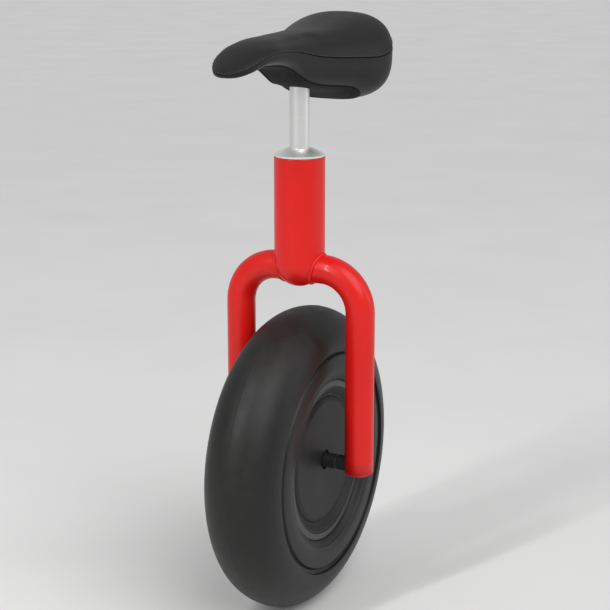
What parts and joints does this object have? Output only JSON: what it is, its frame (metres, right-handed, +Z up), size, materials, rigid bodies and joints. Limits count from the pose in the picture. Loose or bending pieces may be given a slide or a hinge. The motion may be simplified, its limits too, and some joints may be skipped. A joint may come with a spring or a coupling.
{
  "type": "unicycle",
  "caption": "Coasting unicycle: fat pneumatic tyre on a covered split rim, red two-legged tube fork and neck, silver clamped seat post, long-nosed black saddle.",
  "frame": {"origin": "point of the ground under the axle, which is the bottom centre of the box", "axes": "+X forwards towards the saddle nose, +Y to the left of the rider along the axle, +Z up"},
  "size_m": [0.406, 0.213, 0.7849],
  "materials": {
    "red_enamel": "glossy red enamel over steel tube",
    "zinc_steel": "zinc plated, satin",
    "black_steel": "black oxide, matt",
    "bearing_steel": "ground and polished",
    "seal_rubber": "smooth matt",
    "brass": "turned",
    "tyre_rubber": "smooth matt black, slick tread",
    "rim_paint": "black semi-gloss paint",
    "cover_plastic": "dark grey moulded, satin",
    "satin_silver": "satin silver",
    "nylon": "natural nylon",
    "base_plastic": "black moulded, fine grain",
    "saddle_foam": "open-cell foam",
    "saddle_vinyl": "black fine-grained vinyl, two panels"
  },
  "bodies": {
    "frame": {"neck_tube": "red_enamel", "neck_dome": "red_enamel", "collet_seat": "zinc_steel", "guide_bush": "nylon", "fork_leg_left": "red_enamel", "fork_leg_right": "red_enamel", "axle_block_left": "zinc_steel", "axle_block_right": "zinc_steel", "leg_end_plug_left": "red_enamel", "leg_end_plug_right": "red_enamel", "axle_clamp_bolts": "zinc_steel", "axle": "zinc_steel", "bearing_spacer": "zinc_steel", "axle_spacer_left": "black_steel", "axle_spacer_right": "black_steel", "bearing_inner_left": "bearing_steel", "bearing_inner_right": "bearing_steel"},
    "wheel": {"tyre": "tyre_rubber", "inner_tube": "seal_rubber", "valve_stem": "seal_rubber", "valve_insert": "brass", "rim_half_left": "rim_paint", "rim_half_right": "rim_paint", "hub_shell": "rim_paint", "rim_bolts": "zinc_steel", "rim_washers": "zinc_steel", "rim_nuts": "zinc_steel", "hub_cover_left": "cover_plastic", "hub_cover_right": "cover_plastic", "bearing_outer_left": "bearing_steel", "bearing_outer_right": "bearing_steel", "bearing_seals_left": "seal_rubber", "bearing_seals_right": "seal_rubber"},
    "balls_left": {"bearing_balls_left": "bearing_steel", "bearing_cage_left": "brass"},
    "balls_right": {"bearing_balls_right": "bearing_steel", "bearing_cage_right": "brass"},
    "collet": {"collet": "brass"},
    "seat": {"seat_post": "satin_silver", "post_end_plug": "nylon", "post_plate": "black_steel", "saddle_base": "base_plastic", "saddle_foam": "saddle_foam", "saddle_cover": "saddle_vinyl", "saddle_edge_trim": "base_plastic", "saddle_pan": "base_plastic", "saddle_bolts": "zinc_steel", "saddle_washers": "zinc_steel", "saddle_nuts": "zinc_steel"},
    "clamp_washer": {"thrust_washer": "zinc_steel"},
    "clamp_nut": {"dome_nut": "satin_silver"}
  },
  "joints": [
    {"name": "wheel_spin", "type": "hinge", "parent": "frame", "child": "wheel", "pos_m": [0, 0, 0.203], "axis": [0, 1, 0], "continuous": true},
    {"name": "balls_left_spin", "type": "hinge", "parent": "frame", "child": "balls_left", "pos_m": [0, 0, 0.203], "axis": [0, 1, 0], "continuous": true},
    {"name": "balls_right_spin", "type": "hinge", "parent": "frame", "child": "balls_right", "pos_m": [0, 0, 0.203], "axis": [0, 1, 0], "continuous": true},
    {"name": "seat_turn", "type": "hinge", "parent": "frame", "child": "collet", "pos_m": [0, 0, 0.59], "axis": [0, 0, 1], "continuous": true},
    {"name": "seat_height", "type": "slide", "parent": "collet", "child": "seat", "axis": [0, 0, 1], "range_m": [-0.05, 0.045]},
    {"name": "nut_rise", "type": "slide", "parent": "frame", "child": "clamp_washer", "axis": [0, 0, 1], "range_m": [0, 0.002]},
    {"name": "nut_turn", "type": "hinge", "parent": "clamp_washer", "child": "clamp_nut", "pos_m": [0, 0, 0.61], "axis": [0, 0, 1], "range_deg": [0, 360]}
  ],
  "couplings": [
    {"joint": "balls_left_spin", "follows": "wheel_spin", "ratio": 0.634},
    {"joint": "balls_right_spin", "follows": "wheel_spin", "ratio": 0.634},
    {"joint": "nut_rise", "follows": "nut_turn", "m_per_rad": 0.000318}
  ]
}
